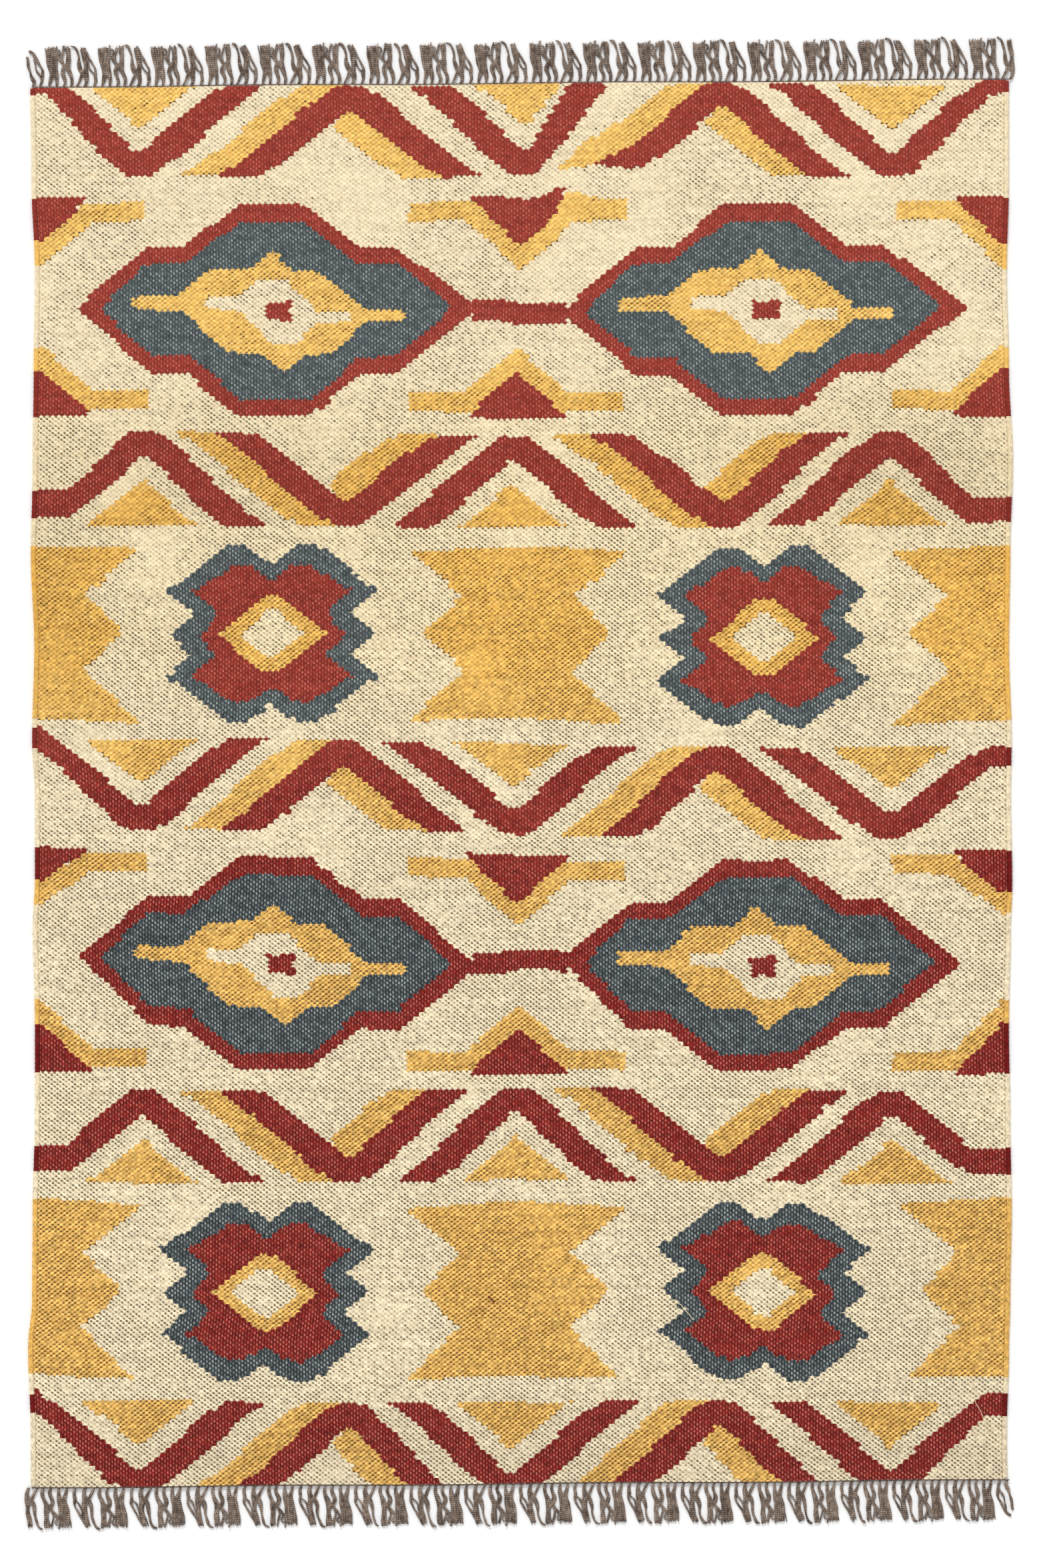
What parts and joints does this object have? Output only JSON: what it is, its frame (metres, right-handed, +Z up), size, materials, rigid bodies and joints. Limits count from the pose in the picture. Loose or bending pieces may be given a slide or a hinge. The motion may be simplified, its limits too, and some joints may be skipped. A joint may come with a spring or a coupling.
{
  "type": "kilim rug",
  "caption": "Flat-woven kilim rug with stepped zigzag, eye and cross motifs and a warp fringe at both ends.",
  "frame": {"origin": "on the floor under the middle of the rug", "axes": "+Z up, out of the face that is walked on; +Y along the warps, towards the far fringe"},
  "size_m": [1.6146, 2.4448, 0.007],
  "materials": {
    "kilim_weave": "matte",
    "weft_cream": "matte",
    "weft_gold": "matte",
    "weft_red": "matte",
    "weft_slate": "matte",
    "warp_cotton": "matte"
  },
  "bodies": {
    "root": {"woven_cloth": "kilim_weave", "fringe_far": "warp_cotton", "fringe_near": "warp_cotton"}
  },
  "joints": []
}
